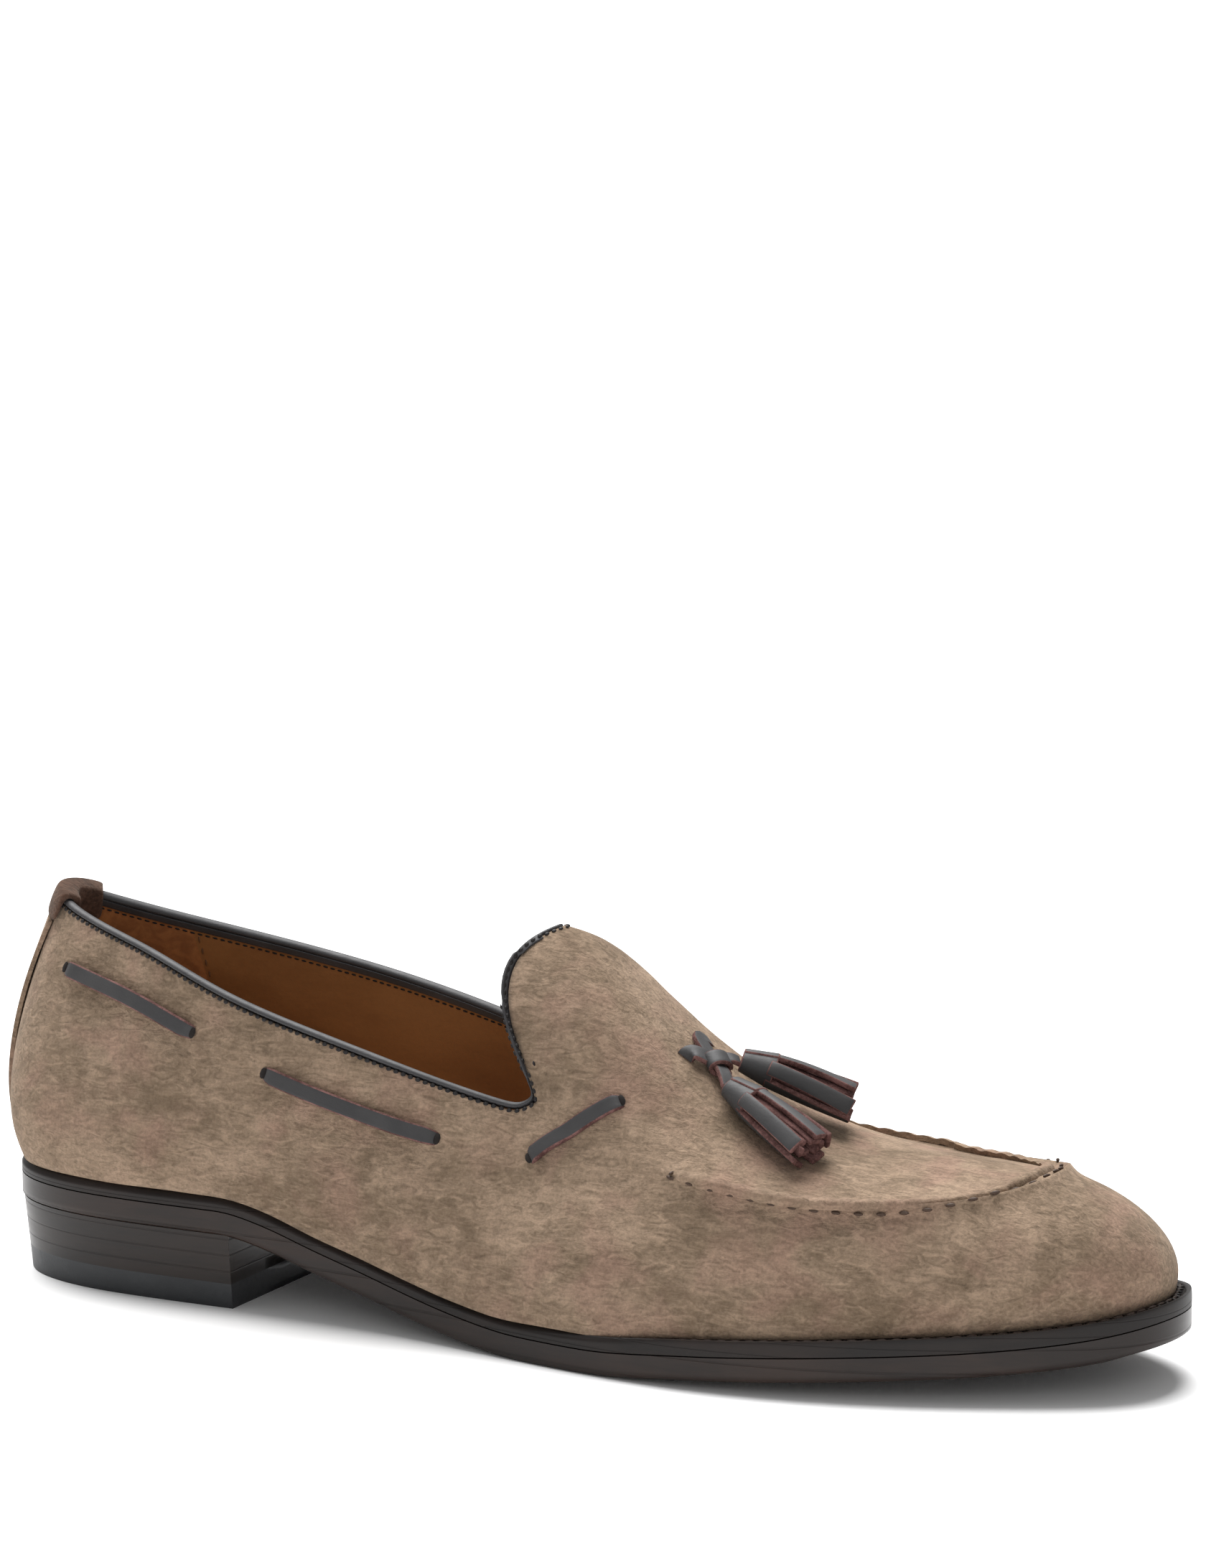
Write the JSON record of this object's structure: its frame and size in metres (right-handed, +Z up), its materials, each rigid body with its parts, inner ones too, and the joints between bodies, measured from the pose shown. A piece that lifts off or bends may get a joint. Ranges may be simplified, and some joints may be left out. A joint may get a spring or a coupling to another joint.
{
  "type": "tassel loafer",
  "caption": "Right tassel loafer in suede with a raised apron seam, bound collar, side lace, knotted tassels, welted leather sole and stacked heel.",
  "frame": {"origin": "the point on the floor under the middle of the heel seat", "axes": "+X towards the toe, +Y towards the inner side of the foot, +Z up"},
  "size_m": [0.3029, 0.1017, 0.0931],
  "materials": {
    "suede": "napped taupe suede, matte",
    "tab_suede": "napped dark brown suede, matte",
    "insole_leather": "smooth tan leather",
    "sole_edge": "stained and waxed sole leather",
    "welt_leather": "stained and waxed welt leather",
    "heel_stack": "stained and waxed leather layers",
    "lift_rubber": "dark rubber",
    "binding_leather": "smooth dark grey leather",
    "lace_leather": "smooth dark grey leather with raw edges"
  },
  "bodies": {
    "root": {"back_strip": "suede", "heel_stack": "heel_stack", "heel_tab": "tab_suede", "insole": "insole_leather", "lace_front_lateral": "lace_leather", "lace_front_medial": "lace_leather", "lace_knot": "lace_leather", "lace_middle_lateral": "lace_leather", "lace_middle_medial": "lace_leather", "lace_rear_lateral": "lace_leather", "lace_rear_medial": "lace_leather", "outsole": "sole_edge", "tassel_lateral": "lace_leather", "tassel_medial": "lace_leather", "top_lift": "lift_rubber", "topline_binding": "binding_leather", "upper": "suede", "welt": "welt_leather"}
  },
  "joints": []
}
